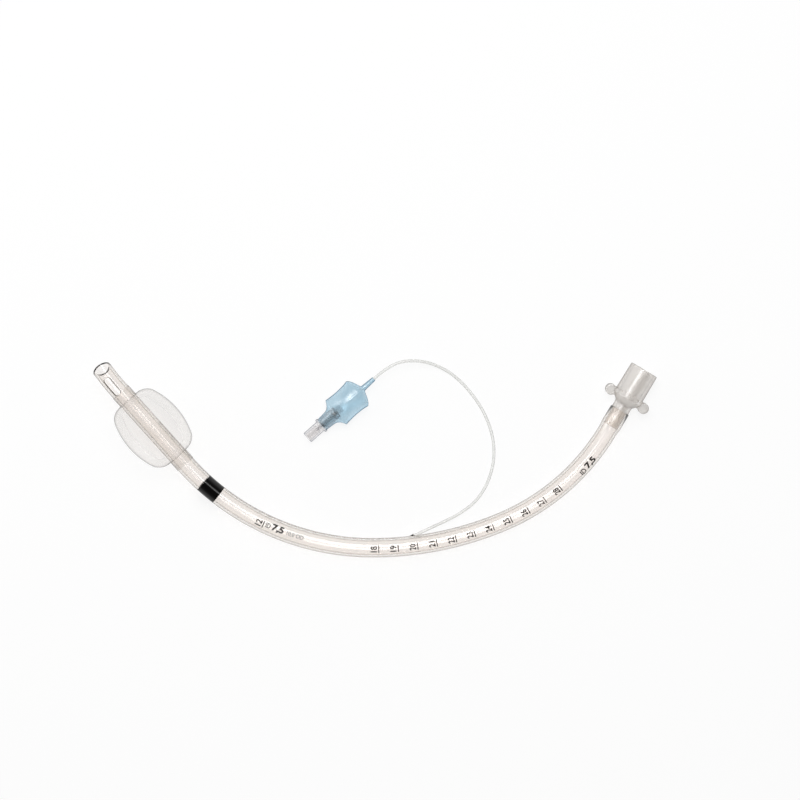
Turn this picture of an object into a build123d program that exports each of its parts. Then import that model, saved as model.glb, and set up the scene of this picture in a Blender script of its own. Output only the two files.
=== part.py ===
"""Cuffed airway tube of 7.5 mm bore with its pilot balloon, lying flat as it comes to rest.

Millimetres, +Z up. The tube, its cuff and its connector are measured together: their box has its
middle over the origin and its bottom at the origin's height. The tube bends in one plane, which
leans a little, because the thick cuff, the belly of the bend and the connector all touch down.
A run is a distance along the tube's centreline from the tip.
"""

from build123d import *
from math import atan, atan2, cos, degrees, pi, radians, sin, sqrt, tan
import os

os.makedirs("parts", exist_ok=True)

# Airway tube
tube_outer_radius = 5.0
tube_bore_radius = 3.75
tube_length = 329.5
tip_point = (-141.84, 49.09)
tip_heading = -52.6
tip_straight = 8.0
cuff_straight = 52.0
preform_bends = [(0, 107.0, 4.3), (cuff_straight, 128.2, 47.9), (0, 170.7, 23.1), (0, 114.0, 36.5)]
bevel_length = 6.2
tip_rounding = 0.45
eye_run = 13.0
eye_length = 11.0
eye_width = 3.8
eye_turn = 16.0
flare_outer_radius = 5.3
flare_taper = 2.0

# Inflation lumen in the wall, and the gland where the inflation line leaves it
lumen_radius = 0.3
lumen_inset = 4.375
port_run = 43.0
port_radius = 0.4
gland_run = 198.2
gland_inset = 5.0
gland_lean = 18.0
gland_length = 7.0
gland_back_radius = 0.5
gland_face_radius = 1.05
skive_radius = 0.95
skive_length = 5.0

# Cuff
film = 0.25
film_gap = 0.02
seam_start_run = 23.8
seam_end_run = 61.8
cuff_collar_length = 5.8
cuff_radius = 15.9
cuff_shoulder_radius = 13.2
cuff_shoulder_rise = 4.6

# Connector
spigot_depth = 9.5
spigot_outer_radius = 4.05
spigot_seat_gap = 0.02
spigot_bore_radius = 3.1
spigot_lead = 0.4
neck_radius = 4.75
neck_length = 3.6
skirt_rise = 3.4
skirt_root_rounding = 1.5
collar_radius = 8.4
collar_thickness = 2.4
collar_rounding = 0.3
cone_base_radius = 7.735
cone_mouth_radius = 7.56
connector_reach = 24.0
mouth_bore_radius = 6.1
deep_bore_radius = 5.8
deep_bore_start = 5.5
funnel_length = 3.0
mouth_rounding = 0.5
notch_count = 12
notch_width = 2.0
notch_height = 0.9
ear_offset = 9.7
ear_radius = 2.8
ear_centre_rise = 6.8
ear_thickness = 6.0
ear_web = 3.4
ear_rounding = 0.6
ear_dish_radius = 1.7
ear_dish_depth = 0.7

# Pilot balloon, measured along its axis from the mouth of the valve
pilot_mouth = (-35.19, 11.56)
pilot_heading = 41.5
pilot_lift = 0.12
balloon_film = 0.35
neck_body_rise = 15.6
neck_body_radius = 4.0
neck_flare_rise = 17.8
neck_flare_width = 10.4
neck_flare_thickness = 8.6
ear_start_rise = 19.6
ear_start_width = 16.4
belly_rise = 27.0
belly_width = 15.6
belly_thickness = 12.0
ear_end_rise = 34.2
ear_end_width = 17.0
corner_thickness = 8.4
shoulder_rise = 36.7
shoulder_width = 10.2
shoulder_thickness = 6.0
spout_rise = 38.2
spout_root_radius = 1.5
spout_end_rise = 45.7
spout_end_radius = 1.15
spout_bore_radius = 0.5

# Valve in the balloon's neck
luer_outer_radius = 3.03
luer_mouth_radius = 2.15
luer_depth = 7.0
luer_taper = 0.06
flange_rise = 8.9
flange_thickness = 1.1
flange_radius = 4.05
flange_rounding = 0.25
barrel_radius = 3.15
barrel_end_rise = 20.0
chamber_radius = 2.4
stem_hole_radius = 1.0
stem_clearance = 0.06
stem_flat_width = 1.2
stem_tip_rise = 6.3
seal_thickness = 0.9
seal_radius = 1.9
head_radius = 2.0
head_thickness = 1.0
centring_pin_radius = 0.7
centring_pin_length = 1.8
retainer_rise = 17.4
retainer_seat_radius = 2.65
retainer_gap = 0.02
stub_outer_radius = 1.85
stub_bore_radius = 1.1
stub_end_rise = 23.3
spring_wire_radius = 0.16
spring_coil_radius = 1.35
spring_turns = 4
spring_end_gap = 0.03

# Inflation line, a free cord: its first and last points follow the gland and the spout
line_radius = 0.75
line_start_run = 7.0
line_end_run = 7.5
line_points = [
    (34.81, -31.74, 3.2),
    (43.61, -27.34, 0.75),
    (51.81, -20.94, 0.75),
    (57.61, -11.74, 0.75),
    (60.81, -0.34, 0.75),
    (60.31, 11.66, 0.75),
    (56.21, 23.26, 0.75),
    (50.41, 32.66, 0.75),
    (42.61, 41.46, 0.75),
    (34.01, 47.56, 2.2),
    (23.41, 51.06, 5.6),
    (12.81, 50.86, 8.2),
]


# The centreline of the tube
def segments():
    """Start run, end run and radius of each stretch, the straight ones with no radius."""
    stretches = [(-tip_straight, tip_straight, None)]
    for straight, bend_radius, bend_turn in preform_bends:
        start = stretches[-1][1]
        if straight > 0:
            stretches.append((start, start + straight, None))
            start += straight
        stretches.append((start, start + bend_radius * radians(bend_turn), bend_radius))
    stretches.append((stretches[-1][1], 2 * tube_length, None))
    return stretches


def station(run):
    """Point and heading of the centreline at a run, in the plane in which the tube bends."""
    x, y = tip_point
    heading = radians(tip_heading)
    for start, end, bend_radius in segments():
        length = min(run, end) - max(start, 0)
        if start > 0 and run <= start:
            break
        if bend_radius is None:
            x += length * cos(heading)
            y += length * sin(heading)
        else:
            swept = heading + length / bend_radius
            x += bend_radius * (sin(swept) - sin(heading))
            y -= bend_radius * (cos(swept) - cos(heading))
            heading = swept
    return x, y, heading


def run_at_heading(heading):
    """Run at which the bend has turned to a heading in radians."""
    turned = radians(tip_heading)
    for start, end, bend_radius in segments():
        if bend_radius is None:
            continue
        if turned + (end - start) / bend_radius >= heading:
            return start + (heading - turned) * bend_radius
        turned += (end - start) / bend_radius
    return end


def resting_plane():
    """The plane of the bend once cuff, belly and connector touch the floor together."""
    slope_x, slope_y, height = 0.0, 0.0, tube_outer_radius
    cuff_run = (seam_start_run + seam_end_run) / 2
    shoulder_drop = cuff_radius - cuff_shoulder_radius
    half_bag = cuff_run - seam_start_run - cuff_shoulder_rise
    flank_radius = (shoulder_drop**2 + half_bag**2) / (2 * shoulder_drop)
    skirt_lean = atan((collar_radius - neck_radius) / skirt_rise)
    collar_land = collar_thickness / 2 - collar_rounding * tan(skirt_lean / 2)
    collar_run = tube_length + neck_length + skirt_rise + collar_thickness / 2
    for _ in range(20):
        belly_run = run_at_heading(atan2(-slope_x, slope_y))
        feet = []
        for run, foot_radius, rounding, land in [(cuff_run, cuff_radius, flank_radius, 0),
                                                 (belly_run, tube_outer_radius, 0, 0),
                                                 (collar_run, collar_radius, collar_rounding,
                                                  collar_land)]:
            x, y, heading = station(run)
            climb = slope_x * cos(heading) + slope_y * sin(heading)
            level = sqrt(1 - climb**2)
            feet.append((x, y, (foot_radius - rounding) * level + rounding + land * abs(climb)))
        (x0, y0, z0), (x1, y1, z1), (x2, y2, z2) = feet
        span = (x0 - x1) * (y2 - y1) - (x2 - x1) * (y0 - y1)
        slope_x = ((z0 - z1) * (y2 - y1) - (z2 - z1) * (y0 - y1)) / span
        slope_y = ((x0 - x1) * (z2 - z1) - (x2 - x1) * (z0 - z1)) / span
        height = z1 - slope_x * x1 - slope_y * y1
    level = sqrt(1 - slope_x**2)
    x_dir = Vector(level, 0, slope_x)
    y_x = -slope_x * slope_y / level
    y_dir = Vector(y_x, sqrt(1 - slope_y**2 - y_x**2), slope_y)
    return Plane(origin=(0, 0, height), x_dir=x_dir, z_dir=x_dir.cross(y_dir))


lying = resting_plane()


def across(run):
    """Plane square to the tube at a run: X to the inside of the bend, Y up, Z towards the connector."""
    x, y, heading = station(run)
    along = lying.x_dir * cos(heading) + lying.y_dir * sin(heading)
    inward = lying.y_dir * cos(heading) - lying.x_dir * sin(heading)
    return Plane(origin=lying.from_local_coords(Vector(x, y, 0)), x_dir=inward, z_dir=along)


def lengthwise(plane):
    """Plane through an axis for profiles to turn about it: X away from the axis, Y along it."""
    return Plane(origin=plane.origin, x_dir=plane.x_dir, z_dir=-plane.y_dir)


def trace_run(first, last, inset=0.0):
    """Draws the centreline between two runs, moved to the inside of the bend by inset."""
    for start, end, bend_radius in segments():
        low = max(first, start)
        high = min(last, end)
        if high <= low:
            continue
        x, y, heading = station(low)
        here = (x - inset * sin(heading), y + inset * cos(heading))
        if bend_radius is None:
            length = high - low
            Line(here, (here[0] + length * cos(heading), here[1] + length * sin(heading)))
        else:
            JernArc(here, (cos(heading), sin(heading)), bend_radius - inset,
                    degrees((high - low) / bend_radius))


tip = across(0)
tube_end = across(tube_length)
gland_x, gland_y, gland_heading = station(gland_run)
exit_heading = gland_heading + radians(gland_lean)
exit_direction = lying.x_dir * cos(exit_heading) + lying.y_dir * sin(exit_heading)
exit_point = lying.from_local_coords(Vector(gland_x - gland_inset * sin(gland_heading),
                                            gland_y + gland_inset * cos(gland_heading), 0))
gland = Plane(origin=exit_point, x_dir=lying.z_dir, z_dir=exit_direction)

with BuildLine(lying) as airway_line:
    trace_run(-1, tube_length)

with BuildLine(lying) as lumen_line:
    trace_run(port_run, gland_run - gland_length, lumen_inset)

# Airway tube: one extrusion with a bevelled tip, a side eye, a lumen in its wall and a flared end
flare_start = across(tube_length - spigot_depth - flare_taper)
flare_full = across(tube_length - spigot_depth)
spigot_seat_radius = spigot_outer_radius + spigot_seat_gap
bevel = Plane(origin=tip.from_local_coords(Vector(0, tube_outer_radius, 0)), x_dir=tip.x_dir,
              z_dir=tip.y_dir * bevel_length + tip.z_dir * 2 * tube_outer_radius)
eye_middle = across(eye_run)
eye_out = eye_middle.y_dir * cos(radians(eye_turn)) - eye_middle.x_dir * sin(radians(eye_turn))
port_place = across(port_run)

with BuildPart() as airway_tube:
    with BuildSketch(across(-1)):
        Circle(tube_outer_radius)
    sweep(path=airway_line.line)
    split(bisect_by=bevel, keep=Keep.TOP)
    fillet(airway_tube.edges().filter_by(GeomType.ELLIPSE), tip_rounding)
    with Locations(flare_start):
        Cone(tube_outer_radius, flare_outer_radius, flare_taper,
             align=(Align.CENTER, Align.CENTER, Align.MIN))
    with Locations(flare_full):
        Cylinder(flare_outer_radius, spigot_depth, align=(Align.CENTER, Align.CENTER, Align.MIN))
    with Locations(gland):
        Cone(gland_back_radius, gland_face_radius, gland_length,
             align=(Align.CENTER, Align.CENTER, Align.MAX))
        Cylinder(skive_radius, skive_length, align=(Align.CENTER, Align.CENTER, Align.MIN),
                 mode=Mode.SUBTRACT)
    with BuildSketch(across(-1)):
        Circle(tube_bore_radius)
    sweep(path=airway_line.line, mode=Mode.SUBTRACT)
    with Locations(flare_start):
        Cone(tube_bore_radius, spigot_seat_radius, flare_taper,
             align=(Align.CENTER, Align.CENTER, Align.MIN), mode=Mode.SUBTRACT)
    with Locations(flare_full):
        Cylinder(spigot_seat_radius, spigot_depth, align=(Align.CENTER, Align.CENTER, Align.MIN),
                 mode=Mode.SUBTRACT)
    with BuildSketch(port_place):
        with Locations((lumen_inset, 0)):
            Circle(lumen_radius)
    sweep(path=lumen_line.line, mode=Mode.SUBTRACT)
    with Locations(Plane(origin=port_place.from_local_coords(Vector(lumen_inset, 0, 0)),
                         z_dir=port_place.x_dir)):
        Cylinder(port_radius, tube_outer_radius - tube_bore_radius,
                 align=(Align.CENTER, Align.CENTER, Align.MIN), mode=Mode.SUBTRACT)
    with BuildSketch(Plane(origin=eye_middle.origin, x_dir=eye_middle.z_dir, z_dir=eye_out)):
        SlotOverall(eye_length, eye_width)
    extrude(amount=2 * tube_outer_radius, mode=Mode.SUBTRACT)
airway_tube.part.label = "airway_tube"

# Cuff: a blown film bag with a collar bonded round the tube at each end
collar_inner = tube_outer_radius + film_gap
collar_outer = collar_inner + film
cuff_middle = across((seam_start_run + seam_end_run) / 2)
half_bag_length = (seam_end_run - seam_start_run) / 2
collar_end_reach = half_bag_length + cuff_collar_length


def draw_cuff_wall(root_radius, inset):
    """Draws half of the bag's wall, from the middle to a seam, moved inwards by inset."""
    shoulder = (cuff_shoulder_radius - inset, half_bag_length - cuff_shoulder_rise - inset)
    flank = TangentArc((cuff_radius - inset, 0), shoulder, tangent=(0, 1))
    TangentArc(shoulder, (root_radius, half_bag_length - inset), tangent=flank % 1)


with BuildPart() as cuff:
    with BuildSketch(lengthwise(cuff_middle)):
        with BuildLine():
            draw_cuff_wall(collar_outer, 0)
            draw_cuff_wall(collar_inner, film)
            Polyline((collar_outer, half_bag_length), (collar_outer, collar_end_reach),
                     (collar_inner, collar_end_reach), (collar_inner, half_bag_length - film))
            Line((cuff_radius - film, 0), (cuff_radius, 0))
        make_face()
    revolve(axis=Axis(cuff_middle.origin, cuff_middle.z_dir))
    mirror(about=cuff_middle)
cuff.part.label = "cuff"

# Connector: the 15 mm cone on a notched collar with two grip ears, and the spigot in the tube
collar_start = neck_length + skirt_rise
collar_end = collar_start + collar_thickness
connector_profile = lengthwise(tube_end)
connector_axis = Axis(tube_end.origin, tube_end.z_dir)
ear_places = [(-ear_offset, ear_centre_rise), (ear_offset, ear_centre_rise)]

with BuildPart() as connector:
    with BuildSketch(connector_profile):
        with Locations(ear_places):
            Circle(ear_radius)
    extrude(amount=ear_thickness / 2, both=True)
    fillet(connector.edges().filter_by(GeomType.CIRCLE), ear_rounding)
    for side in (-1, 1):
        with BuildSketch(connector_profile.offset(side * ear_thickness / 2)):
            with Locations(ear_places):
                Circle(ear_dish_radius)
        extrude(amount=-side * ear_dish_depth, mode=Mode.SUBTRACT)
    with BuildSketch(connector_profile):
        with Locations((0, ear_centre_rise)):
            Rectangle(2 * (ear_offset - ear_dish_radius - ear_rounding), ear_web)
    extrude(amount=ear_thickness / 2 - ear_rounding, both=True)
    with BuildSketch(connector_profile):
        with BuildLine():
            outline = FilletPolyline(
                (0, -spigot_depth), (spigot_outer_radius, -spigot_depth), (spigot_outer_radius, 0),
                (neck_radius, 0), (neck_radius, neck_length), (collar_radius, collar_start),
                (collar_radius, collar_end), (cone_base_radius, collar_end),
                (cone_mouth_radius, connector_reach), (0, connector_reach),
                radius=[spigot_lead, 0, 0, skirt_root_rounding, collar_rounding, collar_rounding, 0,
                        mouth_rounding])
            Line(outline @ 1, outline @ 0)
        make_face()
    revolve(axis=connector_axis)
    with Locations(tube_end.offset(collar_end)):
        with PolarLocations(collar_radius, notch_count):
            Box(2 * (collar_radius - cone_base_radius), notch_width, 2 * notch_height,
                mode=Mode.SUBTRACT)
    with BuildSketch(connector_profile):
        with BuildLine():
            Polyline((0, -2 * spigot_depth), (spigot_bore_radius, -2 * spigot_depth),
                     (spigot_bore_radius, deep_bore_start - funnel_length),
                     (deep_bore_radius, deep_bore_start), (mouth_bore_radius, connector_reach),
                     (mouth_bore_radius, 2 * connector_reach), (0, 2 * connector_reach), close=True)
        make_face()
    revolve(axis=connector_axis, mode=Mode.SUBTRACT)
connector.part.label = "connector"

# The pilot balloon lies on its belly and on the mouth of its valve
pilot_tilt = atan((belly_thickness / 2 - luer_outer_radius) / belly_rise)
pilot_turn = radians(pilot_heading)
pilot_direction = Vector(cos(pilot_turn) * cos(pilot_tilt), sin(pilot_turn) * cos(pilot_tilt),
                         sin(pilot_tilt))
pilot = Plane(origin=(pilot_mouth[0], pilot_mouth[1], luer_outer_radius + pilot_lift),
              x_dir=(-sin(pilot_turn), cos(pilot_turn), 0), z_dir=pilot_direction)
pilot_axis = Axis(pilot.origin, pilot.z_dir)
flange_end = flange_rise + flange_thickness

# Pilot balloon: a flat blown bag with four corners, a neck for the valve and a spout for the line
neck_end_radius = barrel_radius + film_gap + balloon_film
neck_stretch = [(flange_end + film_gap, neck_end_radius, neck_end_radius),
                (neck_body_rise, neck_body_radius, neck_body_radius)]
throat_stretch = [(neck_body_rise, neck_body_radius, neck_body_radius),
                  (neck_flare_rise, neck_flare_width / 2, neck_flare_thickness / 2),
                  (ear_start_rise, ear_start_width / 2, corner_thickness / 2)]
body_stretch = [(ear_start_rise, ear_start_width / 2, corner_thickness / 2),
                (belly_rise, belly_width / 2, belly_thickness / 2),
                (ear_end_rise, ear_end_width / 2, corner_thickness / 2)]
spout_stretch = [(ear_end_rise, ear_end_width / 2, corner_thickness / 2),
                 (shoulder_rise, shoulder_width / 2, shoulder_thickness / 2),
                 (spout_rise, spout_root_radius, spout_root_radius)]

with BuildPart() as pilot_balloon:
    for wall_mode, inset in ((Mode.ADD, 0), (Mode.SUBTRACT, balloon_film)):
        for stretch in (neck_stretch, throat_stretch, body_stretch, spout_stretch):
            for rise, half_width, half_thickness in stretch:
                with BuildSketch(pilot.offset(rise)):
                    Ellipse(half_width - inset, half_thickness - inset)
            loft(mode=wall_mode)
        if wall_mode == Mode.ADD:
            with Locations(pilot.offset(spout_rise)):
                Cone(spout_root_radius, spout_end_radius, spout_end_rise - spout_rise,
                     align=(Align.CENTER, Align.CENTER, Align.MIN))
    with Locations(pilot.offset(belly_rise)):
        Cylinder(spout_bore_radius, spout_end_rise - belly_rise,
                 align=(Align.CENTER, Align.CENTER, Align.MIN), mode=Mode.SUBTRACT)
pilot_balloon.part.label = "pilot_balloon"

# Valve housing: a female luer socket, a flange and the barrel in the balloon's neck
luer_end_radius = luer_mouth_radius - luer_taper / 2 * luer_depth

with BuildPart() as valve_housing:
    with BuildSketch(lengthwise(pilot)):
        with BuildLine():
            Polyline((luer_mouth_radius, 0), (luer_outer_radius, 0),
                     (luer_outer_radius, flange_rise), (flange_radius, flange_rise),
                     (flange_radius, flange_end), (barrel_radius, flange_end),
                     (barrel_radius, barrel_end_rise), (retainer_seat_radius, barrel_end_rise),
                     (retainer_seat_radius, retainer_rise), (chamber_radius, retainer_rise),
                     (chamber_radius, flange_end), (stem_hole_radius, flange_end),
                     (stem_hole_radius, luer_depth), (luer_end_radius, luer_depth), close=True)
        make_face()
    revolve(axis=pilot_axis)
    flange_edges = valve_housing.edges().filter_by(GeomType.CIRCLE).filter_by(
        lambda edge: abs(edge.radius - flange_radius) < film_gap)
    fillet(flange_edges, flange_rounding)
valve_housing.part.label = "valve_housing"

# Valve plunger: a flat-sided stem for the syringe to push, a head and a pin that centres the spring
stem_radius = stem_hole_radius - stem_clearance
head_rise = flange_end + seal_thickness
head_end = head_rise + head_thickness

with BuildPart() as valve_plunger:
    with BuildSketch(pilot.offset(stem_tip_rise)):
        Circle(stem_radius)
        Rectangle(stem_flat_width, 2 * stem_radius, mode=Mode.INTERSECT)
    extrude(amount=flange_end - stem_tip_rise)
    with BuildSketch(pilot.offset(flange_end)):
        Circle(stem_radius)
    extrude(amount=seal_thickness)
    with BuildSketch(pilot.offset(head_rise)):
        Circle(head_radius)
    extrude(amount=head_thickness)
    with BuildSketch(pilot.offset(head_end)):
        Circle(centring_pin_radius)
    extrude(amount=centring_pin_length)
valve_plunger.part.label = "valve_plunger"

# Valve seal: a rubber ring that the spring holds against the wall under the flange
with BuildPart() as valve_seal:
    with BuildSketch(pilot.offset(flange_end)):
        Circle(seal_radius)
        Circle(stem_radius + retainer_gap, mode=Mode.SUBTRACT)
    extrude(amount=seal_thickness)
valve_seal.part.label = "valve_seal"

# Valve retainer: a cap in the end of the barrel with a short open stub
with BuildPart() as valve_retainer:
    with BuildSketch(pilot.offset(retainer_rise)):
        Circle(retainer_seat_radius - retainer_gap)
    extrude(amount=barrel_end_rise - retainer_rise)
    with BuildSketch(pilot.offset(barrel_end_rise)):
        Circle(stub_outer_radius)
    extrude(amount=stub_end_rise - barrel_end_rise)
    with BuildSketch(pilot.offset(retainer_rise)):
        Circle(stub_bore_radius)
    extrude(amount=stub_end_rise - retainer_rise, mode=Mode.SUBTRACT)
valve_retainer.part.label = "valve_retainer"

# Valve spring: a round wire coil between the plunger's head and the retainer
spring_start = head_end + spring_wire_radius + spring_end_gap
spring_length = retainer_rise - spring_wire_radius - spring_end_gap - spring_start

with BuildPart() as valve_spring:
    with BuildLine() as coil:
        Helix(pitch=spring_length / spring_turns, height=spring_length, radius=spring_coil_radius,
              center=pilot.offset(spring_start).origin, direction=pilot_direction)
    with BuildSketch(Plane(origin=coil.line @ 0, z_dir=coil.line % 0)):
        Circle(spring_wire_radius)
    sweep(path=coil.line, is_frenet=True)
valve_spring.part.label = "valve_spring"

# Inflation line: straight runs joined by tangent arcs, each arc as large as its two runs allow
spout_end = pilot.offset(spout_end_rise).origin
route = [exit_point, exit_point + exit_direction * line_start_run]
route += [Vector(point) for point in line_points]
route += [spout_end + pilot_direction * line_end_run, spout_end]
line_radii = []
for before, corner, after in zip(route, route[1:], route[2:]):
    turn = radians((corner - before).get_angle(after - corner))
    shorter = min((corner - before).length, (after - corner).length)
    line_radii.append(0.45 * shorter / tan(turn / 2))
print("inflation line radii, mm:", [round(radius, 1) for radius in line_radii])

with BuildLine() as line_route:
    FilletPolyline(route, radius=line_radii)

with BuildPart() as inflation_line:
    with BuildSketch(gland):
        Circle(line_radius)
    sweep(path=line_route.line)
inflation_line.part.label = "inflation_line"
line_length = sum(edge.length for edge in line_route.edges())
print("inflation line length, mm:", round(line_length, 1), "volume against section times length:",
      round(inflation_line.part.volume / (pi * line_radius**2 * line_length), 4))

export_step(airway_tube.part, "parts/airway_tube.step")
export_step(cuff.part, "parts/cuff.step")
export_step(connector.part, "parts/connector.step")
export_step(inflation_line.part, "parts/inflation_line.step")
export_step(pilot_balloon.part, "parts/pilot_balloon.step")
export_step(valve_housing.part, "parts/valve_housing.step")
export_step(valve_plunger.part, "parts/valve_plunger.step")
export_step(valve_seal.part, "parts/valve_seal.step")
export_step(valve_spring.part, "parts/valve_spring.step")
export_step(valve_retainer.part, "parts/valve_retainer.step")
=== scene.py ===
# %% [markdown]
# Endotracheal tube: the looks of a clear, cuffed airway tube on a white table.
# The imported CAD model is loaded as a fixed frame. The hard pieces (connector and valve) keep their
# CAD shape and get new materials, and only the valve's spring is a copy, with a mesh of its own. The
# soft pieces (tube, cuff, pilot balloon, inflation line) are rebuilt finely here, and the print is
# laid on the tube.

# %% Load the frame
from math import atan2, cos, hypot, pi, radians, sin

import bmesh
import bpy
from mathutils import Matrix, Vector


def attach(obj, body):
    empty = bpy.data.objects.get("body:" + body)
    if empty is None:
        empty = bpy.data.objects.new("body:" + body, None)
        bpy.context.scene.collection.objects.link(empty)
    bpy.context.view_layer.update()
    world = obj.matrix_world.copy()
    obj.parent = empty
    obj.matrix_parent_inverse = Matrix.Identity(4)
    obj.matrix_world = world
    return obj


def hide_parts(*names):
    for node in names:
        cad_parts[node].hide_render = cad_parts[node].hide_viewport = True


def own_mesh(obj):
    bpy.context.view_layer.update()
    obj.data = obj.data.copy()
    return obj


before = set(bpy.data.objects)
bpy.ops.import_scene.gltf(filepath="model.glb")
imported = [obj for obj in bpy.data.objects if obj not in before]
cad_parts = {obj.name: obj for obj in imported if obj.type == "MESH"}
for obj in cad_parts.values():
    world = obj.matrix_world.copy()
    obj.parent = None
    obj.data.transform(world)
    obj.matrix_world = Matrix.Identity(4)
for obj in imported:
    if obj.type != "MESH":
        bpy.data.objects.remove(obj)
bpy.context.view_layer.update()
MM = 0.001

# %% [markdown]
# The tube was extruded straight, so it is modelled straight and then bent. A point of the straight
# tube is (inward, up, run): inward is to the inside of the bend, up is away from the floor, and run
# is the distance from the tip. The line is a straight tip, a slight bend, a straight stretch, three
# joined bends and a straight end. Its plane leans a little, because the cuff, the belly and the
# connector all touch the floor.

# %% The bent centreline
TUBE_LENGTH = 329.5 * MM
TUBE_RADIUS = 5.0 * MM
BORE_RADIUS = 3.75 * MM
TIP_POINT = (-141.84 * MM, 49.09 * MM)
TIP_HEADING = radians(-52.6)
# straight length before each bend, its radius and its turn
BENDS = [(8.0 * MM, 107.0 * MM, radians(4.3)), (52.0 * MM, 128.2 * MM, radians(47.9)),
         (0.0, 170.7 * MM, radians(23.1)), (0.0, 114.0 * MM, radians(36.5))]
PLANE_HEIGHT = 10.2788 * MM
PLANE_X = Vector((0.9993121, 0.0, -0.0370842))
PLANE_Y = Vector((0.0033451, 0.9959235, 0.0901398))
PLANE_UP = PLANE_X.cross(PLANE_Y)


def station(run):
    """Point and heading of the centreline at a run, in the plane of the bend."""
    x, y = TIP_POINT
    heading = TIP_HEADING
    left = run
    for length, bend_radius, bend_turn in BENDS:
        straight = min(left, length)
        x += straight * cos(heading)
        y += straight * sin(heading)
        left = left - straight if length > 0 else left
        turn = min(max(left, 0.0) / bend_radius, bend_turn)
        x += bend_radius * (sin(heading + turn) - sin(heading))
        y -= bend_radius * (cos(heading + turn) - cos(heading))
        heading += turn
        left -= turn * bend_radius
        if left <= 0:
            return x, y, heading
    return x + left * cos(heading), y + left * sin(heading), heading


def bend_point(point):
    """Where a point (inward, up, run) of the straight tube goes when the tube is bent."""
    x, y, heading = station(point.z)
    x -= point.x * sin(heading)
    y += point.x * cos(heading)
    return Vector((0, 0, PLANE_HEIGHT)) + x * PLANE_X + y * PLANE_Y + point.y * PLANE_UP


tip_at = bend_point(Vector((0, 0, 0)))
end_at = bend_point(Vector((0, 0, TUBE_LENGTH)))
print("tip and end of the tube, mm:", [round(v / MM, 1) for v in (*tip_at, *end_at)])

# %% [markdown]
# Every new piece is a mesh at the origin, its place in its vertices. A round piece is a profile of
# (radius, run) points spun about the run axis with bmesh's spin.

# %% Helpers that make meshes
RING = 120


def runs_between(first, last, spacing=1.2 * MM):
    """Evenly spaced runs from first to last, close enough for the bend to look smooth."""
    steps = max(1, round(abs(last - first) / spacing))
    return [first + (last - first) * step / steps for step in range(steps + 1)]


def spin_profile(profile, steps=RING, closed=True):
    """Spins a profile of (radius, run) points about the run axis; closed joins its two ends."""
    bm = bmesh.new()
    verts = [bm.verts.new((radius, 0, run)) for radius, run in profile]
    edges = [bm.edges.new(pair) for pair in zip(verts, verts[1:])]
    if closed:
        edges.append(bm.edges.new((verts[-1], verts[0])))
    bmesh.ops.spin(bm, geom=verts + edges, cent=(0, 0, 0), axis=(0, 0, 1), angle=2 * pi, steps=steps,
                   use_merge=True)
    bmesh.ops.remove_doubles(bm, verts=bm.verts, dist=0.001 * MM)
    bmesh.ops.recalc_face_normals(bm, faces=bm.faces)
    return bm


def rod_profile(radius, first, last, spacing=1.2 * MM):
    """Profile of a closed rod: up its axis to the rim, along its side, and back to its axis."""
    side = [(radius, run) for run in runs_between(first, last, spacing)]
    return [(0, first)] + side + [(0, last)]


def finish_mesh(bm, name, smooth=True, sharp=radians(40)):
    """Makes the object of a bmesh, smooth except over edges sharper than an angle."""
    mesh = bpy.data.meshes.new(name)
    for face in bm.faces:
        face.smooth = smooth
    for edge in bm.edges:
        if len(edge.link_faces) == 2 and edge.calc_face_angle(0) > sharp:
            edge.smooth = False
    bm.to_mesh(mesh)
    bm.free()
    piece = bpy.data.objects.new(name, mesh)
    bpy.context.scene.collection.objects.link(piece)
    return piece


def keep_straight(bm):
    """Keeps each vertex's straight position as an attribute, for patterns that run along the tube."""
    layer = bm.verts.layers.float_vector.new("straight")
    for vert in bm.verts:
        vert[layer] = vert.co


def bend_mesh(bm):
    """Bends a straight mesh along the tube's centreline."""
    keep_straight(bm)
    for vert in bm.verts:
        vert.co = bend_point(vert.co)


def cut_with(bm, cutters, operation="DIFFERENCE"):
    """Cuts cutter meshes out of a mesh, or joins them on, with exact booleans."""
    body = finish_mesh(bm, "cut_body")
    tools = [finish_mesh(cutter, "cut_tool") for cutter in cutters]
    for tool in tools:
        modifier = body.modifiers.new("cut", "BOOLEAN")
        modifier.operation = operation
        modifier.solver = "EXACT"
        modifier.object = tool
    bpy.context.view_layer.update()
    depsgraph = bpy.context.evaluated_depsgraph_get()
    result = bmesh.new()
    result.from_object(body, depsgraph)
    for old in [body] + tools:
        bpy.data.objects.remove(old, do_unlink=True)
    return result


def turned_to(direction, origin):
    """Matrix that puts local Z along a direction, from an origin."""
    return Matrix.Translation(origin) @ direction.to_track_quat("Z", "Y").to_matrix().to_4x4()


# %% [markdown]
# The airway tube: a rod with the tapered gland joined on, then the bore, the wall's own lumen with
# its port, the skive for the inflation line and the side eye cut out. The bevel is a plane cut, and
# its rim and the eye's rim are rounded with bevel.

# %% Airway tube
BEVEL = 6.2 * MM
TIP_ROUNDING = 0.6 * MM
FLARE_START = 318.0 * MM
FLARE_FULL = 320.0 * MM
FLARE_RADIUS = 5.3 * MM
SEAT_RADIUS = 4.07 * MM
LUMEN_RADIUS = 0.3 * MM
LUMEN_INSET = 4.375 * MM
PORT_RUN = 43.0 * MM
GLAND_RUN = 198.2 * MM
GLAND_LENGTH = 7.0 * MM
GLAND_LEAN = radians(18)
EYE_RUN = 13.0 * MM
EYE_LENGTH = 11.0 * MM
EYE_WIDTH = 3.8 * MM
EYE_TURN = radians(16)
EYE_CUT_DEPTH = 8 * MM
EYE_RIM_ROUNDING = 0.28 * MM
# the rim of the eye lies above this height over the tube's axis
EYE_RIM_HEIGHT = 1.5 * MM
# how far the rod and the bore run past the part of the tube that stays
OVERRUN = 1 * MM

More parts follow.
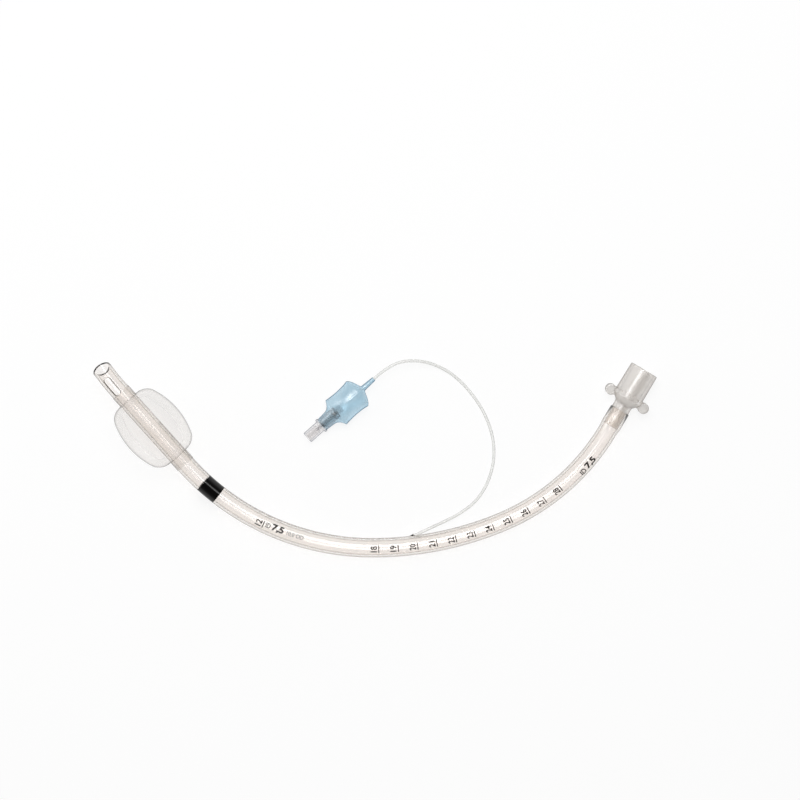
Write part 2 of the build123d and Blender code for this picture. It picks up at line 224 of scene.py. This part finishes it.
outside = ([(0, -OVERRUN)] + [(TUBE_RADIUS, run) for run in runs_between(-OVERRUN, FLARE_START)]
           + [(FLARE_RADIUS, FLARE_FULL), (FLARE_RADIUS, TUBE_LENGTH - 0.3 * MM),
              (FLARE_RADIUS - 0.25 * MM, TUBE_LENGTH), (0, TUBE_LENGTH)])
inside = ([(0, -2 * OVERRUN)]
          + [(BORE_RADIUS, run) for run in runs_between(-2 * OVERRUN, FLARE_START)]
          + [(SEAT_RADIUS, FLARE_FULL), (SEAT_RADIUS, TUBE_LENGTH + OVERRUN),
             (0, TUBE_LENGTH + OVERRUN)])
bore = spin_profile(inside, closed=False)
lumen = spin_profile(rod_profile(LUMEN_RADIUS, PORT_RUN, GLAND_RUN - GLAND_LENGTH), 12,
                     closed=False)
bmesh.ops.translate(lumen, verts=lumen.verts, vec=(LUMEN_INSET, 0, 0))

gland_out = Vector((sin(GLAND_LEAN), 0, cos(GLAND_LEAN)))
gland_at = Vector((TUBE_RADIUS, 0, GLAND_RUN))
gland = spin_profile([(0, -GLAND_LENGTH), (0.5 * MM, -GLAND_LENGTH), (0.85 * MM, -GLAND_LENGTH / 2),
                      (1.02 * MM, -1.0 * MM), (1.05 * MM, 0), (0, 0)], 48, closed=False)
bmesh.ops.transform(gland, matrix=turned_to(gland_out, gland_at), verts=gland.verts)
skive = spin_profile(rod_profile(0.95 * MM, 0, 5 * MM), 48, closed=False)
bmesh.ops.transform(skive, matrix=turned_to(gland_out, gland_at), verts=skive.verts)
port = spin_profile(rod_profile(0.4 * MM, 0, 2 * MM), 24, closed=False)
bmesh.ops.transform(port, matrix=turned_to(Vector((1, 0, 0)), Vector((LUMEN_INSET, 0, PORT_RUN))),
                    verts=port.verts)

eye = bmesh.new()
bmesh.ops.create_circle(eye, cap_ends=True, radius=EYE_WIDTH / 2, segments=40)
for vert in eye.verts:
    vert.co.y += (EYE_LENGTH - EYE_WIDTH) / 2 * (1 if vert.co.y > 0 else -1)
sides = bmesh.ops.extrude_face_region(eye, geom=eye.faces[:])["geom"]
bmesh.ops.translate(eye, verts=[side for side in sides if isinstance(side, bmesh.types.BMVert)],
                    vec=(0, 0, EYE_CUT_DEPTH))
bmesh.ops.recalc_face_normals(eye, faces=eye.faces)
eye_frame = Matrix(((cos(EYE_TURN), 0, -sin(EYE_TURN), 0), (sin(EYE_TURN), 0, cos(EYE_TURN), 0),
                    (0, 1, 0, EYE_RUN), (0, 0, 0, 1)))
bmesh.ops.transform(eye, matrix=eye_frame, verts=eye.verts)
bmesh.ops.recalc_face_normals(eye, faces=eye.faces)

tube = cut_with(spin_profile(outside, closed=False), [gland], "UNION")
tube = cut_with(tube, [bore, skive, lumen, port, eye])
bevel_normal = Vector((0, BEVEL, 2 * TUBE_RADIUS)).normalized()
cut = bmesh.ops.bisect_plane(tube, geom=tube.verts[:] + tube.edges[:] + tube.faces[:],
                             plane_co=(0, TUBE_RADIUS, 0), plane_no=bevel_normal, clear_inner=True)
rim = [edge for edge in cut["geom_cut"] if isinstance(edge, bmesh.types.BMEdge)]
bmesh.ops.bridge_loops(tube, edges=rim)
rim = [edge for edge in rim if edge.is_valid]
bmesh.ops.bevel(tube, geom=rim, offset=TIP_ROUNDING, offset_type="OFFSET", segments=4, profile=0.5,
                affect="EDGES", clamp_overlap=True, material=-1)
eye_rim = [edge for edge in tube.edges
           if len(edge.link_faces) == 2 and edge.calc_face_angle(0) > radians(35)
           and all(abs(vert.co.z - EYE_RUN) < EYE_LENGTH / 2 + 0.2 * MM
                   and vert.co.y > EYE_RIM_HEIGHT for vert in edge.verts)]
bmesh.ops.bevel(tube, geom=eye_rim, offset=EYE_RIM_ROUNDING, offset_type="OFFSET", segments=3,
                profile=0.5, affect="EDGES", clamp_overlap=True, material=-1)
bmesh.ops.recalc_face_normals(tube, faces=tube.faces)
eye_out = Vector((sin(EYE_TURN), cos(EYE_TURN), 0))
# the eye's wall and its rounded rim take the tube's second material, the punched edge, whose dark
# grey is painted shade along the eye's rim
for face in tube.faces:
    centre = face.calc_center_median()
    if (centre.y > EYE_RIM_HEIGHT and abs(centre.z - EYE_RUN) < EYE_LENGTH / 2 + 0.3 * MM
            and abs(centre.x) < 3.5 * MM and abs(face.normal.dot(eye_out)) < 0.8
            and abs(face.normal.dot(Vector((centre.x, centre.y, 0)).normalized())) < 0.95):
        face.material_index = 1
print("tube faces:", len(tube.faces), "eye rim edges:", len(eye_rim))
bend_mesh(tube)
airway_tube = finish_mesh(tube, "airway_tube_fine")
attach(airway_tube, "airway")
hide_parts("airway_tube")

# %% [markdown]
# The cuff is a blown film bag. Its wall is two tangent arcs from the middle to each collar, and the
# film gathers in fine creases where it meets the collars.

# %% Cuff
CUFF_RADIUS = 15.9 * MM
CUFF_SHOULDER = (13.2 * MM, 28.4 * MM)
CUFF_MIDDLE = 42.8 * MM
CUFF_SEAM = 23.8 * MM
CUFF_COLLAR = 18.0 * MM
CUFF_ROOT = 5.25 * MM
# how far the creases reach from the seam, and their depth as a share of the radius
GATHER_REACH = 3.5 * MM
GATHER_DEPTH = 0.03


def tangent_arc(start, heading, end, count):
    """Points of the arc that leaves start along heading and reaches end, and its heading there."""
    way = Vector(end) - Vector(start)
    side = Vector((-heading.y, heading.x))
    lean = 2 * way.dot(side)
    arc_radius = way.length_squared / lean
    centre = Vector(start) + side * arc_radius
    turn = 2 * atan2(way.dot(side), way.dot(heading))
    points = []
    for step in range(1, count + 1):
        angle = turn * step / count
        points.append(centre + Matrix.Rotation(angle, 2) @ (Vector(start) - centre))
    return points, Matrix.Rotation(turn, 2) @ heading


flank, flank_heading = tangent_arc((CUFF_RADIUS, CUFF_MIDDLE), Vector((0, -1)), CUFF_SHOULDER, 16)
shoulder, _ = tangent_arc(CUFF_SHOULDER, flank_heading, (CUFF_ROOT, CUFF_SEAM), 20)
half = [(p.x, p.y) for p in flank + shoulder]
half += [(CUFF_ROOT, run) for run in runs_between(CUFF_SEAM - 0.4 * MM, CUFF_COLLAR, 0.8 * MM)]
half += [(TUBE_RADIUS + 0.02 * MM, CUFF_COLLAR)]
other = [(radius, 2 * CUFF_MIDDLE - run) for radius, run in half]
cuff_bag = spin_profile(half[::-1] + [(CUFF_RADIUS, CUFF_MIDDLE)] + other, 144, closed=False)
for vert in cuff_bag.verts:
    reach = hypot(vert.co.x, vert.co.y)
    angle = atan2(vert.co.y, vert.co.x)
    from_seam = abs(abs(vert.co.z - CUFF_MIDDLE) - (CUFF_MIDDLE - CUFF_SEAM))
    if reach > CUFF_ROOT + 0.1 * MM:
        gather = max(0.0, 1 - from_seam / GATHER_REACH) * min(1.0, (reach - CUFF_ROOT) / (2 * MM))
        ripple = 0.6 * sin(19 * angle + 1.3) + 0.4 * sin(31 * angle + 0.4)
        vert.co.x *= 1 - gather * GATHER_DEPTH * (1 + ripple)
        vert.co.y *= 1 - gather * GATHER_DEPTH * (1 + ripple)
bend_mesh(cuff_bag)
cuff = finish_mesh(cuff_bag, "cuff_film_bag", sharp=radians(60))
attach(cuff, "airway")
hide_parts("cuff")
print("cuff half profile, points:", len(half))

# %% [markdown]
# The print: a black position band, depth marks a centimetre apart and the plain sizes. Each piece of
# lettering is a text turned into a mesh, cut into strips and wrapped round the tube.

# %% Band, depth marks and sizes
BAND = (80.8 * MM, 90.8 * MM)
INK_RADIUS = TUBE_RADIUS + 0.02 * MM
INK_UNDERSIDE = TUBE_RADIUS + 0.004 * MM
PRINT_STRIP = 0.5 * MM
band_profile = ([(INK_RADIUS, run) for run in runs_between(BAND[0], BAND[1], 1 * MM)]
                + [(INK_UNDERSIDE, run) for run in runs_between(BAND[1], BAND[0], 1 * MM)])
band_mesh = spin_profile(band_profile)
bend_mesh(band_mesh)
band = finish_mesh(band_mesh, "position_band")
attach(band, "airway")

prints = bmesh.new()


def stamp(bm):
    """Adds a flat mesh of (inward, run) points to the print."""
    mesh = bpy.data.meshes.new("stamp")
    bm.to_mesh(mesh)
    bm.free()
    prints.from_mesh(mesh)
    bpy.data.meshes.remove(mesh)


def letter(text, low, high, turned, weight):
    """Fits text to a box of (inward, run) corners; turned text reads to the inside of the bend."""
    curve = bpy.data.curves.new("letter", "FONT")
    curve.body = text
    curve.offset = weight
    holder = bpy.data.objects.new("letter", curve)
    bpy.context.scene.collection.objects.link(holder)
    bpy.context.view_layer.update()
    depsgraph = bpy.context.evaluated_depsgraph_get()
    mesh = bpy.data.meshes.new_from_object(holder.evaluated_get(depsgraph))
    bpy.data.objects.remove(holder, do_unlink=True)
    flat = bmesh.new()
    flat.from_mesh(mesh)
    xs = [vert.co.x for vert in flat.verts]
    ys = [vert.co.y for vert in flat.verts]
    for vert in flat.verts:
        across = (vert.co.x - min(xs)) / (max(xs) - min(xs))
        upward = (vert.co.y - min(ys)) / (max(ys) - min(ys))
        if turned:
            vert.co = (low[0] + (high[0] - low[0]) * across,
                       high[1] - (high[1] - low[1]) * upward, 0)
        else:
            vert.co = (low[0] + (high[0] - low[0]) * upward,
                       low[1] + (high[1] - low[1]) * across, 0)
    stamp(flat)


def bar(low, high):
    """Adds a rectangle of (inward, run) corners to the print."""
    flat = bmesh.new()
    bmesh.ops.create_grid(flat, x_segments=1, y_segments=1, size=0.5)
    for vert in flat.verts:
        vert.co.x = low[0] + (high[0] - low[0]) * (vert.co.x + 0.5)
        vert.co.y = low[1] + (high[1] - low[1]) * (vert.co.y + 0.5)
    stamp(flat)


MARKS = [(12, 118.0 * MM)] + [(number, (number * 10 - 1) * MM) for number in range(18, 29)]
for number, mark_run in MARKS:
    letter(str(number), (-2.3 * MM, mark_run - 4.2 * MM), (1.0 * MM, mark_run - 0.9 * MM), True,
           0.025)
    bar((-2.5 * MM, mark_run - 0.25 * MM), (1.3 * MM, mark_run + 0.25 * MM))
letter("ID", (-1.3 * MM, 119.3 * MM), (1.2 * MM, 121.8 * MM), False, 0.01)
letter("7,5", (-1.9 * MM, 122.7 * MM), (2.1 * MM, 129.0 * MM), False, 0.04)
letter("10,0 OD", (-1.3 * MM, 130.8 * MM), (1.2 * MM, 139.8 * MM), False, 0.01)
letter("ID", (-4.3 * MM, 291.6 * MM), (-1.2 * MM, 294.7 * MM), False, 0.02)
letter("7,5", (-4.6 * MM, 295.7 * MM), (-0.4 * MM, 302.0 * MM), False, 0.04)
for step in range(-11, 5):
    bmesh.ops.bisect_plane(prints, geom=prints.verts[:] + prints.edges[:] + prints.faces[:],
                           plane_co=(step * PRINT_STRIP, 0, 0), plane_no=(1, 0, 0))
bmesh.ops.triangulate(prints, faces=prints.faces)


def skyward(run):
    """How far round the tube, in radians, its highest line lies from the plane of the bend's up."""
    heading = station(run)[2]
    inward = cos(heading) * PLANE_Y - sin(heading) * PLANE_X
    return atan2(inward.z, PLANE_UP.z)


for vert in prints.verts:
    angle = vert.co.x / TUBE_RADIUS + skyward(vert.co.y)
    vert.co = (INK_RADIUS * sin(angle), INK_RADIUS * cos(angle), vert.co.y)
bend_mesh(prints)
lettering = finish_mesh(prints, "depth_marks")
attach(lettering, "airway")
print("print faces:", len(lettering.data.polygons))

# %% [markdown]
# The pilot balloon is a flat film bag with four pulled corners, built in its own frame: along its
# axis from the valve's mouth, sideways and up. Its rings go from the round neck to a lens shape and
# back to the round spout. The weld is marked along both sides.

# %% Pilot balloon
PILOT_AT = Vector((-35.19, 11.56, 3.15)) * MM
PILOT_ALONG = Vector((0.7444652, 0.6586472, 0.1093405)).normalized()
PILOT_SIDE = Vector((-0.66262, 0.7489557, 0.0)).normalized()
PILOT_UP = PILOT_ALONG.cross(PILOT_SIDE)
# rise along the axis, half width, half thickness, and how far the section is pulled to a lens
BALLOON = [(10.02, 3.53, 3.53, 0.0), (13.0, 3.76, 3.76, 0.0), (15.6, 4.0, 4.0, 0.0),
           (16.8, 4.45, 4.1, 0.1), (17.8, 5.3, 4.28, 0.3), (18.6, 6.4, 4.3, 0.5),
           (19.2, 7.5, 4.25, 0.8), (19.6, 8.2, 4.2, 1.0), (20.6, 8.1, 4.7, 0.8),
           (22.4, 7.95, 5.3, 0.6), (24.6, 7.82, 5.8, 0.5), (27.0, 7.78, 5.98, 0.5),
           (29.4, 7.86, 5.8, 0.5), (31.6, 8.05, 5.3, 0.6), (33.2, 8.32, 4.7, 0.8),
           (34.2, 8.5, 4.2, 1.0), (34.9, 7.95, 3.95, 0.9), (35.6, 7.1, 3.65, 0.7),
           (36.3, 5.9, 3.2, 0.4), (36.9, 4.6, 2.8, 0.2), (37.4, 3.2, 2.25, 0.1),
           (37.8, 2.2, 1.85, 0.0), (38.2, 1.5, 1.5, 0.0),
           (41.0, 1.38, 1.38, 0.0), (43.5, 1.26, 1.26, 0.0), (45.68, 1.15, 1.15, 0.0)]
SEAM_WIDTH = 0.45 * MM
CREASE_HEIGHT = 0.3 * MM


def pilot_point(side, up, rise):
    """Where a point of the balloon's own frame lies."""
    return PILOT_AT + side * PILOT_SIDE + up * PILOT_UP + rise * PILOT_ALONG


bag = bmesh.new()
seam = bag.verts.layers.float.new("seam")
rings = []
for rise, half_width, half_thickness, lens in BALLOON:
    ring = bmesh.ops.create_circle(bag, radius=1.0, segments=96)["verts"]
    for vert in ring:
        flat_side = vert.co.x
        vert[seam] = 1.0 if (1 - abs(flat_side)) * half_width * MM < SEAM_WIDTH else 0.0
        bulge = abs(vert.co.y) ** (1 + 0.9 * lens)
        vert.co = (flat_side * half_width * MM,
                   (bulge if vert.co.y > 0 else -bulge) * half_thickness * MM, rise * MM)
    rings.append([edge for edge in bag.edges if all(vert in ring for vert in edge.verts)])
for one, two in zip(rings, rings[1:]):
    bmesh.ops.bridge_loops(bag, edges=one + two)
bmesh.ops.recalc_face_normals(bag, faces=bag.faces)
for vert in bag.verts:
    # a crease runs from the spout over the top of the bag
    if vert.co.y > 0 and abs(vert.co.x) < 0.2 * MM and 29 * MM < vert.co.z < 38 * MM:
        vert.co.y += CREASE_HEIGHT
    vert.co = pilot_point(vert.co.x, vert.co.y, vert.co.z)
balloon = finish_mesh(bag, "pilot_balloon_film", sharp=radians(75))
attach(balloon, "airway")
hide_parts("pilot_balloon")
print("balloon faces:", len(balloon.data.polygons))

# %% [markdown]
# A syringe pushes the plunger in, and the spring behind it shortens. The solid's coil is copied into
# a piece of its own, with a mesh of its own, and the solid is hidden.

# %% Valve spring
solid_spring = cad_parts["valve_spring"]
coil = bmesh.new()
coil.from_mesh(solid_spring.data)
coil.transform(solid_spring.matrix_world)
spring = finish_mesh(coil, "valve_spring_coil")
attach(spring, "airway")
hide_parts("valve_spring")
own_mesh(spring)

# %% [markdown]
# The inflation line is one NURBS spline along the route from the gland to the spout. The tube is
# swept along it, and the points of the bare spline are kept.

# %% Inflation line
LINE_ROUTE = [(19.7, -38.691, 6.041), (26.034, -35.71, 6.076), (34.81, -31.74, 3.2),
              (43.61, -27.34, 0.75), (51.81, -20.94, 0.75), (57.61, -11.74, 0.75),
              (60.81, -0.34, 0.75), (60.31, 11.66, 0.75), (56.21, 23.26, 0.75), (50.41, 32.66, 0.75),
              (42.61, 41.46, 0.75), (34.01, 47.56, 2.2), (23.41, 51.06, 5.6), (12.81, 50.86, 8.2),
              (4.416, 46.6, 8.967), (-1.168, 41.66, 8.147)]
LINE_DIAMETER = 1.5 * MM
line_curve = bpy.data.curves.new("inflation_line", "CURVE")
line_curve.dimensions = "3D"
line_curve.resolution_u = 24
line_curve.use_fill_caps = True
spline = line_curve.splines.new("NURBS")
spline.points.add(len(LINE_ROUTE) - 1)
for point, place in zip(spline.points, LINE_ROUTE):
    point.co = (*(Vector(place) * MM), 1.0)
spline.order_u = 3
spline.use_endpoint_u = True
line_route = bpy.data.objects.new("line_route", line_curve)
line_path = [vert.co.copy() for vert in bpy.data.meshes.new_from_object(line_route).vertices]
line_curve.bevel_depth = LINE_DIAMETER / 2
line_curve.bevel_resolution = 6
line_tube = bmesh.new()
line_tube.from_mesh(bpy.data.meshes.new_from_object(line_route))
bpy.data.objects.remove(line_route, do_unlink=True)
bmesh.ops.remove_doubles(line_tube, verts=line_tube.verts, dist=0.001 * MM)
bmesh.ops.recalc_face_normals(line_tube, faces=line_tube.faces)
inflation_line = finish_mesh(line_tube, "inflation_line_cord")
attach(inflation_line, "airway")
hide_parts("inflation_line")
print("line faces:", len(inflation_line.data.polygons))

# %% [markdown]
# Materials, each named for the real material and how it was made. One function adds a node with its
# values, links and colour stops. Colours are given as sRGB hex and made linear once.

# %% Material helpers


def linear(hex_colour):
    """Linear RGBA of an sRGB hex colour."""
    parts = [int(hex_colour[i:i + 2], 16) / 255 for i in (1, 3, 5)]
    return (*[c / 12.92 if c <= 0.04045 else ((c + 0.055) / 1.055) ** 2.4 for c in parts], 1.0)


def new_tree(name):
    """An empty material and its node tree."""
    material = bpy.data.materials.new(name)
    material.use_nodes = True
    material.node_tree.nodes.clear()
    return material, material.node_tree


def add(tree, kind, values=None, stops=(), **settings):
    """Adds a node; each value is set on its socket, or linked if it is another node's output."""
    node = tree.nodes.new(kind)
    for key, value in settings.items():
        setattr(node, key, value)
    for key, value in (values or {}).items():
        if isinstance(value, bpy.types.NodeSocket):
            tree.links.new(value, node.inputs[key])
        else:
            node.inputs[key].default_value = value
    for index, (position, hex_colour) in enumerate(stops):
        elements = node.color_ramp.elements
        stop = elements[index] if index < 2 else elements.new(position)
        stop.position = position
        stop.color = linear(hex_colour)
    return node


# %% [markdown]
# Extruded PVC has a satin skin with faint lines drawn along it. It bends light as glass does. The
# plasticiser tints it a little, and most where the light passes the wall edge on, so the tint follows
# Layer Weight's facing. The lines follow the straight tube, from the attribute kept before bending.
# Light Path lets the lamps shine through it, because refracted lamp light would be lost. The eye is
# punched, and a punched edge is matt; its dark grey is painted shade that draws the eye's dark rim.

# %% PVC of the airway tube
tube_plastic, tree = new_tree("clear_pvc_extruded")
place = add(tree, "ShaderNodeAttribute", attribute_name="straight")
# lines 0.6 mm apart round the tube and 25 mm long
drawn = add(tree, "ShaderNodeVectorMath", {0: place.outputs["Vector"],
            1: (1 / (0.6 * MM), 1 / (0.6 * MM), 1 / (25 * MM))}, operation="MULTIPLY")
lines = add(tree, "ShaderNodeTexNoise", {"Vector": drawn.outputs[0], "Scale": 1.0, "Detail": 3.0})
rough = add(tree, "ShaderNodeMapRange", {"Value": lines.outputs["Fac"], "To Min": 0.04,
            "To Max": 0.12})
ripple = add(tree, "ShaderNodeBump", {"Strength": 0.015, "Distance": 0.02 * MM,
             "Height": lines.outputs["Fac"]})
facing = add(tree, "ShaderNodeLayerWeight", {"Blend": 0.5})
tint = add(tree, "ShaderNodeValToRGB", {"Fac": facing.outputs["Facing"]},
           stops=[(0.0, "#fcf9f7"), (0.35, "#f6f2ee"), (0.6, "#a89f96"), (0.8, "#544d46")])
body = add(tree, "ShaderNodeBsdfPrincipled", {"Base Color": tint.outputs["Color"],
           "Roughness": rough.outputs[0], "IOR": 1.5, "Transmission Weight": 1.0, "Coat Weight": 0.4,
           "Coat Roughness": 0.35, "Normal": ripple.outputs["Normal"]})
path = add(tree, "ShaderNodeLightPath")
lit = add(tree, "ShaderNodeBsdfTransparent", {"Color": linear("#f3efeb")})
either = add(tree, "ShaderNodeMixShader", {0: path.outputs["Is Shadow Ray"], 1: body.outputs[0],
             2: lit.outputs[0]})
add(tree, "ShaderNodeOutputMaterial", {"Surface": either.outputs[0]})
airway_tube.data.materials.append(tube_plastic)

# %% [markdown]
# Blown film is a few hundredths of a millimetre thick, too thin to bend light, so it lets light
# straight through, tinted more where it is seen edge on, under a soft gloss. Moulded polypropylene
# and milky PVC tubing scatter a share of the light as well. One function makes them all: the eye's
# punched edge with its painted shade, the cuff's clear film, the balloon's light blue film, the line,
# the milky connector and the clear valve. Where a piece has a weld, its "seam" attribute gives the
# edge tint there.

# %% Films and milky plastics


def sheer(name, stops, milk, gloss, roughness, size_mm):
    """A see-through plastic: its tint from face on to edge on, and its milky and glossy shares."""
    material, tree = new_tree(name)
    place = add(tree, "ShaderNodeTexCoord")
    uneven = add(tree, "ShaderNodeTexNoise", {"Vector": place.outputs["Object"],
                 "Scale": 1 / (size_mm * MM), "Detail": 3.0})
    bumps = add(tree, "ShaderNodeBump", {"Strength": 0.1, "Distance": 0.01 * size_mm * MM,
                "Height": uneven.outputs["Fac"]})
    facing = add(tree, "ShaderNodeLayerWeight", {"Blend": 0.5})
    seam = add(tree, "ShaderNodeAttribute", attribute_name="seam")
    depth = add(tree, "ShaderNodeMath", {0: facing.outputs["Facing"], 1: seam.outputs["Fac"]},
                operation="MAXIMUM")
    tint = add(tree, "ShaderNodeValToRGB", {"Fac": depth.outputs[0]}, stops=stops)
    through = add(tree, "ShaderNodeBsdfTransparent", {"Color": tint.outputs["Color"]})
    scatter = add(tree, "ShaderNodeBsdfDiffuse", {"Color": tint.outputs["Color"]})
    body = add(tree, "ShaderNodeMixShader", {0: milk, 1: through.outputs[0], 2: scatter.outputs[0]})
    shine = add(tree, "ShaderNodeBsdfGlossy", {"Color": (1, 1, 1, 1), "Roughness": roughness,
                "Normal": bumps.outputs["Normal"]})
    fresnel = add(tree, "ShaderNodeFresnel", {"IOR": 1.5, "Normal": bumps.outputs["Normal"]})
    share = add(tree, "ShaderNodeMapRange", {"Value": fresnel.outputs["Fac"], "To Min": gloss,
                "To Max": gloss + 0.25})
    mix = add(tree, "ShaderNodeMixShader", {0: share.outputs[0], 1: body.outputs[0],
              2: shine.outputs[0]})
    add(tree, "ShaderNodeOutputMaterial", {"Surface": mix.outputs[0]})
    return material


# the eye's punched edge: its dark greys are painted shade, drawing the dark rim the eye shows in
# light
airway_tube.data.materials.append(sheer("punched_pvc_edge_painted_shade", [(0.2, "#857e77"), (0.6, "#6b655e"),
                                        (0.9, "#544e48")], 0.4, 0.02, 0.5, 1.0))
cuff.data.materials.append(sheer("clear_pvc_film_blown", [(0.62, "#f9f8f7"), (0.8, "#e6e5e4"),
                                 (0.96, "#8e8d8b")], 0.01, 0.01, 0.35, 8.0))
balloon.data.materials.append(sheer("blue_pvc_film_blown", [(0.5, "#d6ebf5"), (0.75, "#a9cde0"),
                                    (0.95, "#5f9ab3")], 0.1, 0.17, 0.36, 5.0))
inflation_line.data.materials.append(sheer("milky_pvc_thin_tubing", [(0.3, "#fafaf9"),
                                     (0.65, "#dededb"), (0.95, "#a3a39f")], 0.3, 0.03, 0.3, 0.5))
connector_plastic = sheer("milky_polypropylene_moulded", [(0.3, "#faf8f6"), (0.6, "#e2deda"),
                          (0.9, "#8f8a84")], 0.2, 0.16, 0.28, 1.0)
valve_plastic = sheer("clear_polycarbonate_moulded", [(0.3, "#fbfafa"), (0.6, "#e4e4e7"),
                      (0.9, "#737a86")], 0.05, 0.08, 0.15, 1.5)

# %% [markdown]
# The valve's plunger is white acetal, its ring black rubber and its spring drawn steel. The print on
# the tube is a black ink, rolled on for the band and stamped thinner for the marks.

# %% Acetal, rubber, steel and ink


def opaque(name, colour, dark, size_mm, roughness, metallic=0.0, specular=0.5):
    """An opaque material whose colour and roughness vary finely, by grains of size_mm."""
    material, tree = new_tree(name)
    place = add(tree, "ShaderNodeTexCoord")
    grain = add(tree, "ShaderNodeTexNoise", {"Vector": place.outputs["Object"],
                "Scale": 1 / (size_mm * MM), "Detail": 3.0})
    tint = add(tree, "ShaderNodeValToRGB", {"Fac": grain.outputs["Fac"]},
               stops=[(0.3, dark), (0.7, colour)])
    rough = add(tree, "ShaderNodeMapRange", {"Value": grain.outputs["Fac"], "To Min": roughness * 0.7,
                "To Max": roughness * 1.3})
    bumps = add(tree, "ShaderNodeBump", {"Strength": 0.05, "Distance": 0.02 * MM,
                "Height": grain.outputs["Fac"]})
    body = add(tree, "ShaderNodeBsdfPrincipled", {"Base Color": tint.outputs["Color"],
               "Roughness": rough.outputs[0], "Metallic": metallic, "Specular IOR Level": specular,
               "Normal": bumps.outputs["Normal"]})
    add(tree, "ShaderNodeOutputMaterial", {"Surface": body.outputs[0]})
    return material


band.data.materials.append(opaque("black_band_ink_rolled", "#0c0a0a", "#050404", 0.8, 0.1,
                                  specular=0.3))
lettering.data.materials.append(opaque("dark_mark_ink_stamped", "#3a3430", "#262220", 0.3, 0.5,
                                       specular=0.2))
spring.data.materials.append(opaque("drawn_steel_wire", "#cfcfd0", "#a9a9aa", 0.2, 0.4,
                                    metallic=1.0))
acetal = opaque("white_acetal_moulded", "#f2f2f2", "#e4e4e6", 1.0, 0.4)
rubber = opaque("black_nitrile_rubber", "#1b1b1d", "#101012", 0.5, 0.6)
for node, material in (("connector", connector_plastic), ("valve_housing", valve_plastic),
                       ("valve_retainer", valve_plastic), ("valve_plunger", acetal),
                       ("valve_seal", rubber)):
    for material_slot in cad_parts[node].material_slots:
        material_slot.material = material
print("materials:", sorted(material.name for material in bpy.data.materials if material.users))

# %% [markdown]
# The table is white and wide. Most of its white is a glow, so that it is as white as the
# photograph's, and the rest comes from the lamps, so that the object keeps a soft shadow. The room
# is white at the horizon and dim overhead, which keeps the black band black. The camera sees the
# room white.

# %% Table, world, lamps and camera
floor_mesh = bmesh.new()
bmesh.ops.create_grid(floor_mesh, x_segments=1, y_segments=1, size=3.0)
bmesh.ops.translate(floor_mesh, verts=floor_mesh.verts, vec=(0, 0, -0.05 * MM))
table_top = finish_mesh(floor_mesh, "table_top")
table_white, tree = new_tree("white_table")
glow = add(tree, "ShaderNodeEmission", {"Color": (1, 1, 1, 1), "Strength": 0.85})
paint = add(tree, "ShaderNodeBsdfDiffuse", {"Color": (0.17, 0.17, 0.17, 1)})
both = add(tree, "ShaderNodeAddShader", {0: glow.outputs[0], 1: paint.outputs[0]})
add(tree, "ShaderNodeOutputMaterial", {"Surface": both.outputs[0]})
table_top.data.materials.append(table_white)

world = bpy.data.worlds.new("studio")
bpy.context.scene.world = world
world.use_nodes = True
tree = world.node_tree
tree.nodes.clear()
direction = add(tree, "ShaderNodeTexCoord")
height = add(tree, "ShaderNodeSeparateXYZ", {0: direction.outputs["Generated"]})
room_light = add(tree, "ShaderNodeValToRGB", {"Fac": height.outputs["Z"]},
                 stops=[(0.1, "#ffffff"), (0.45, "#7f7f7f"), (0.8, "#505050")])
path = add(tree, "ShaderNodeLightPath")
room = add(tree, "ShaderNodeBackground", {"Color": room_light.outputs["Color"], "Strength": 1.0})
white = add(tree, "ShaderNodeBackground", {"Color": (1, 1, 1, 1), "Strength": 1.0})
either = add(tree, "ShaderNodeMixShader", {0: path.outputs["Is Camera Ray"], 1: room.outputs[0],
             2: white.outputs[0]})
add(tree, "ShaderNodeOutputWorld", {"Surface": either.outputs[0]})


def softbox(name, place, size, watts):
    """A rectangular lamp of a size in metres, aimed at the origin, unseen by the camera."""
    lamp = bpy.data.lights.new(name, "AREA")
    lamp.shape = "RECTANGLE"
    lamp.size, lamp.size_y = size
    lamp.energy = watts
    holder = bpy.data.objects.new(name, lamp)
    holder.location = place
    holder.rotation_euler = (-Vector(place)).to_track_quat("-Z", "Y").to_euler()
    holder.visible_camera = False
    bpy.context.scene.collection.objects.link(holder)


softbox("overhead_softbox", (0.03, 0.42, 1.1), (0.85, 0.7), 7.5)
softbox("small_softbox", (0.03, 0.36, 1.1), (0.2, 0.2), 1.2)
softbox("left_softbox", (-0.9, 0.3, 0.7), (0.4, 0.6), 2.0)

camera_data = bpy.data.cameras.new("camera")
camera = bpy.data.objects.new("camera", camera_data)
bpy.context.scene.collection.objects.link(camera)
CAMERA_HEIGHT = 2.2
PICTURE_CENTRE = (12.24 * MM, 30.83 * MM)
# the picture is this wide at the height where the scale was read
PICTURE_WIDTH = 410.3 * MM
SCALE_HEIGHT = 8 * MM
SENSOR_WIDTH = 36.0
camera.location = (*PICTURE_CENTRE, CAMERA_HEIGHT)
camera_data.sensor_width = SENSOR_WIDTH
camera_data.lens = SENSOR_WIDTH * (CAMERA_HEIGHT - SCALE_HEIGHT) / PICTURE_WIDTH
camera_data.clip_end = 20.0
bpy.context.scene.camera = camera
bpy.context.scene.view_settings.view_transform = "Standard"
print("lens, mm:", round(camera_data.lens, 1))

# %% [markdown]
# The view layer is brought up to date at the end.

# %% Finish
bpy.context.view_layer.update()
